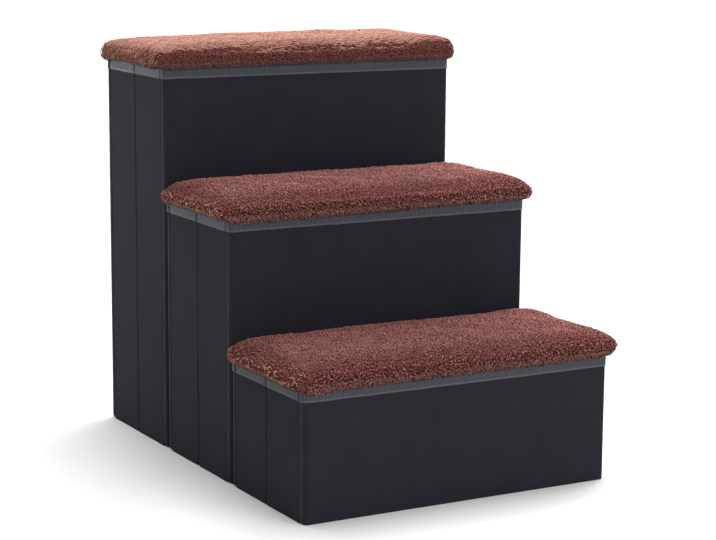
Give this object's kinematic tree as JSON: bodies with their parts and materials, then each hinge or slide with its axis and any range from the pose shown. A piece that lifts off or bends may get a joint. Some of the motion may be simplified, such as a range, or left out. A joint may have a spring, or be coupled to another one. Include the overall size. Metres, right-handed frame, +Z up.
{
  "type": "pet stairs",
  "caption": "Pet stairs made of joined storage boxes of rising height, whose side walls crease inwards to fold flat, each under a padded plush lid that lifts off.",
  "frame": {"origin": "on the floor, under the middle of the stairs' footprint", "axes": "+X to the right, +Y from the lowest step towards the highest, +Z up"},
  "size_m": [0.43, 0.554, 0.5],
  "materials": {
    "wall_cloth": "matte suede-like cloth over stiff board, charcoal",
    "binding_tape": "woven binding tape with a slight sheen, slate grey",
    "plush": "curly sherpa plush, reddish brown",
    "foam": "open-cell foam, hidden inside the lid",
    "lid_board": "bare fibreboard, hidden inside the lid",
    "base_cloth": "plain black non-woven lining cloth",
    "fastener": "black hook-and-loop tape"
  },
  "bodies": {
    "upper_walls": {"top_front_panel": "wall_cloth", "top_front_tape": "binding_tape", "middle_back_panel": "wall_cloth", "middle_back_tape": "binding_tape", "upper_fastener_strips": "fastener", "top_base_cloth": "base_cloth", "middle_base_cloth": "base_cloth"},
    "lower_walls": {"middle_front_panel": "wall_cloth", "middle_front_tape": "binding_tape", "bottom_back_panel": "wall_cloth", "bottom_back_tape": "binding_tape", "lower_fastener_strips": "fastener", "bottom_base_cloth": "base_cloth"},
    "top_back_wall": {"top_back_panel": "wall_cloth", "top_back_tape": "binding_tape"},
    "bottom_front_wall": {"bottom_front_panel": "wall_cloth", "bottom_front_tape": "binding_tape"},
    "bottom_left_front_wall": {"bottom_left_front_panel": "wall_cloth", "bottom_left_front_tape": "binding_tape"},
    "bottom_left_rear_wall": {"bottom_left_rear_panel": "wall_cloth", "bottom_left_rear_tape": "binding_tape"},
    "bottom_right_front_wall": {"bottom_right_front_panel": "wall_cloth", "bottom_right_front_tape": "binding_tape"},
    "bottom_right_rear_wall": {"bottom_right_rear_panel": "wall_cloth", "bottom_right_rear_tape": "binding_tape"},
    "bottom_front_leaf": {"bottom_front_leaf": "base_cloth"},
    "bottom_rear_leaf": {"bottom_rear_leaf": "base_cloth"},
    "bottom_lid": {"bottom_lid_board": "lid_board", "bottom_lid_pad": "foam", "bottom_lid_cover": "plush", "bottom_lid_backing": "base_cloth"},
    "middle_left_front_wall": {"middle_left_front_panel": "wall_cloth", "middle_left_front_tape": "binding_tape"},
    "middle_left_rear_wall": {"middle_left_rear_panel": "wall_cloth", "middle_left_rear_tape": "binding_tape"},
    "middle_right_front_wall": {"middle_right_front_panel": "wall_cloth", "middle_right_front_tape": "binding_tape"},
    "middle_right_rear_wall": {"middle_right_rear_panel": "wall_cloth", "middle_right_rear_tape": "binding_tape"},
    "middle_front_leaf": {"middle_front_leaf": "base_cloth"},
    "middle_rear_leaf": {"middle_rear_leaf": "base_cloth"},
    "middle_lid": {"middle_lid_board": "lid_board", "middle_lid_pad": "foam", "middle_lid_cover": "plush", "middle_lid_backing": "base_cloth"},
    "top_left_front_wall": {"top_left_front_panel": "wall_cloth", "top_left_front_tape": "binding_tape"},
    "top_left_rear_wall": {"top_left_rear_panel": "wall_cloth", "top_left_rear_tape": "binding_tape"},
    "top_right_front_wall": {"top_right_front_panel": "wall_cloth", "top_right_front_tape": "binding_tape"},
    "top_right_rear_wall": {"top_right_rear_panel": "wall_cloth", "top_right_rear_tape": "binding_tape"},
    "top_front_leaf": {"top_front_leaf": "base_cloth"},
    "top_rear_leaf": {"top_rear_leaf": "base_cloth"},
    "top_lid": {"top_lid_board": "lid_board", "top_lid_pad": "foam", "top_lid_cover": "plush", "top_lid_backing": "base_cloth"}
  },
  "joints": [
    {"name": "bottom_fold", "type": "hinge", "parent": "lower_walls", "child": "bottom_left_rear_wall", "pos_m": [-0.193, -0.103, 0], "axis": [0, 0, 1], "range_deg": [0, 90], "deforming": ["bottom_base_cloth"]},
    {"name": "bottom_left_crease", "type": "hinge", "parent": "bottom_left_rear_wall", "child": "bottom_left_front_wall", "pos_m": [-0.201, -0.182, 0], "axis": [0, 0, -1], "range_deg": [0, 180]},
    {"name": "bottom_right_corner", "type": "hinge", "parent": "lower_walls", "child": "bottom_right_rear_wall", "pos_m": [0.193, -0.103, 0], "axis": [0, 0, -1], "range_deg": [0, 90]},
    {"name": "bottom_right_crease", "type": "hinge", "parent": "bottom_right_rear_wall", "child": "bottom_right_front_wall", "pos_m": [0.201, -0.182, 0], "axis": [0, 0, 1], "range_deg": [0, 180]},
    {"name": "bottom_front_wall_turn", "type": "hinge", "parent": "bottom_left_front_wall", "child": "bottom_front_wall", "pos_m": [-0.193, -0.261, 0], "axis": [0, 0, 1], "range_deg": [0, 90]},
    {"name": "bottom_front_leaf_turn", "type": "hinge", "parent": "bottom_front_wall", "child": "bottom_front_leaf", "pos_m": [0, -0.2645, 0.0053], "axis": [1, 0, 0], "range_deg": [0, 90]},
    {"name": "bottom_rear_leaf_turn", "type": "hinge", "parent": "lower_walls", "child": "bottom_rear_leaf", "pos_m": [0, -0.0995, 0.0053], "axis": [-1, 0, 0], "range_deg": [0, 90]},
    {"name": "bottom_lid_lift", "type": "slide", "parent": "lower_walls", "child": "bottom_lid", "axis": [0, 0, 1], "range_m": [0, 0.11]},
    {"name": "middle_fold", "type": "hinge", "parent": "upper_walls", "child": "middle_left_rear_wall", "pos_m": [-0.193, 0.079, 0], "axis": [0, 0, 1], "range_deg": [0, 90], "deforming": ["middle_base_cloth"]},
    {"name": "middle_left_crease", "type": "hinge", "parent": "middle_left_rear_wall", "child": "middle_left_front_wall", "pos_m": [-0.201, 0, 0], "axis": [0, 0, -1], "range_deg": [0, 180]},
    {"name": "middle_right_corner", "type": "hinge", "parent": "upper_walls", "child": "middle_right_rear_wall", "pos_m": [0.193, 0.079, 0], "axis": [0, 0, -1], "range_deg": [0, 90]},
    {"name": "middle_right_crease", "type": "hinge", "parent": "middle_right_rear_wall", "child": "middle_right_front_wall", "pos_m": [0.201, 0, 0], "axis": [0, 0, 1], "range_deg": [0, 180]},
    {"name": "middle_front_wall_turn", "type": "hinge", "parent": "middle_left_front_wall", "child": "lower_walls", "pos_m": [-0.193, -0.079, 0], "axis": [0, 0, 1], "range_deg": [0, 90]},
    {"name": "middle_front_leaf_turn", "type": "hinge", "parent": "lower_walls", "child": "middle_front_leaf", "pos_m": [0, -0.0825, 0.0053], "axis": [1, 0, 0], "range_deg": [0, 90]},
    {"name": "middle_rear_leaf_turn", "type": "hinge", "parent": "upper_walls", "child": "middle_rear_leaf", "pos_m": [0, 0.0825, 0.0053], "axis": [-1, 0, 0], "range_deg": [0, 90]},
    {"name": "middle_lid_lift", "type": "slide", "parent": "upper_walls", "child": "middle_lid", "axis": [0, 0, 1], "range_m": [0, 0.11]},
    {"name": "top_fold", "type": "hinge", "parent": "upper_walls", "child": "top_left_front_wall", "pos_m": [-0.193, 0.103, 0], "axis": [0, 0, -1], "range_deg": [0, 90], "deforming": ["top_base_cloth"]},
    {"name": "top_left_crease", "type": "hinge", "parent": "top_left_front_wall", "child": "top_left_rear_wall", "pos_m": [-0.201, 0.182, 0], "axis": [0, 0, 1], "range_deg": [0, 180]},
    {"name": "top_right_corner", "type": "hinge", "parent": "upper_walls", "child": "top_right_front_wall", "pos_m": [0.193, 0.103, 0], "axis": [0, 0, 1], "range_deg": [0, 90]},
    {"name": "top_right_crease", "type": "hinge", "parent": "top_right_front_wall", "child": "top_right_rear_wall", "pos_m": [0.201, 0.182, 0], "axis": [0, 0, -1], "range_deg": [0, 180]},
    {"name": "top_rear_wall_turn", "type": "hinge", "parent": "top_left_rear_wall", "child": "top_back_wall", "pos_m": [-0.193, 0.261, 0], "axis": [0, 0, -1], "range_deg": [0, 90]},
    {"name": "top_front_leaf_turn", "type": "hinge", "parent": "upper_walls", "child": "top_front_leaf", "pos_m": [0, 0.0995, 0.0053], "axis": [1, 0, 0], "range_deg": [0, 90]},
    {"name": "top_rear_leaf_turn", "type": "hinge", "parent": "top_back_wall", "child": "top_rear_leaf", "pos_m": [0, 0.2645, 0.0053], "axis": [-1, 0, 0], "range_deg": [0, 90]},
    {"name": "top_lid_lift", "type": "slide", "parent": "upper_walls", "child": "top_lid", "axis": [0, 0, 1], "range_m": [0, 0.11]}
  ],
  "couplings": [
    {"joint": "bottom_left_crease", "follows": "bottom_fold", "ratio": 2},
    {"joint": "bottom_right_corner", "follows": "bottom_fold", "ratio": 1},
    {"joint": "bottom_right_crease", "follows": "bottom_fold", "ratio": 2},
    {"joint": "bottom_front_wall_turn", "follows": "bottom_fold", "ratio": 1},
    {"joint": "bottom_front_leaf_turn", "follows": "bottom_fold", "ratio": 1},
    {"joint": "bottom_rear_leaf_turn", "follows": "bottom_fold", "ratio": 1},
    {"joint": "middle_left_crease", "follows": "middle_fold", "ratio": 2},
    {"joint": "middle_right_corner", "follows": "middle_fold", "ratio": 1},
    {"joint": "middle_right_crease", "follows": "middle_fold", "ratio": 2},
    {"joint": "middle_front_wall_turn", "follows": "middle_fold", "ratio": 1},
    {"joint": "middle_front_leaf_turn", "follows": "middle_fold", "ratio": 1},
    {"joint": "middle_rear_leaf_turn", "follows": "middle_fold", "ratio": 1},
    {"joint": "top_left_crease", "follows": "top_fold", "ratio": 2},
    {"joint": "top_right_corner", "follows": "top_fold", "ratio": 1},
    {"joint": "top_right_crease", "follows": "top_fold", "ratio": 2},
    {"joint": "top_rear_wall_turn", "follows": "top_fold", "ratio": 1},
    {"joint": "top_front_leaf_turn", "follows": "top_fold", "ratio": 1},
    {"joint": "top_rear_leaf_turn", "follows": "top_fold", "ratio": 1}
  ]
}
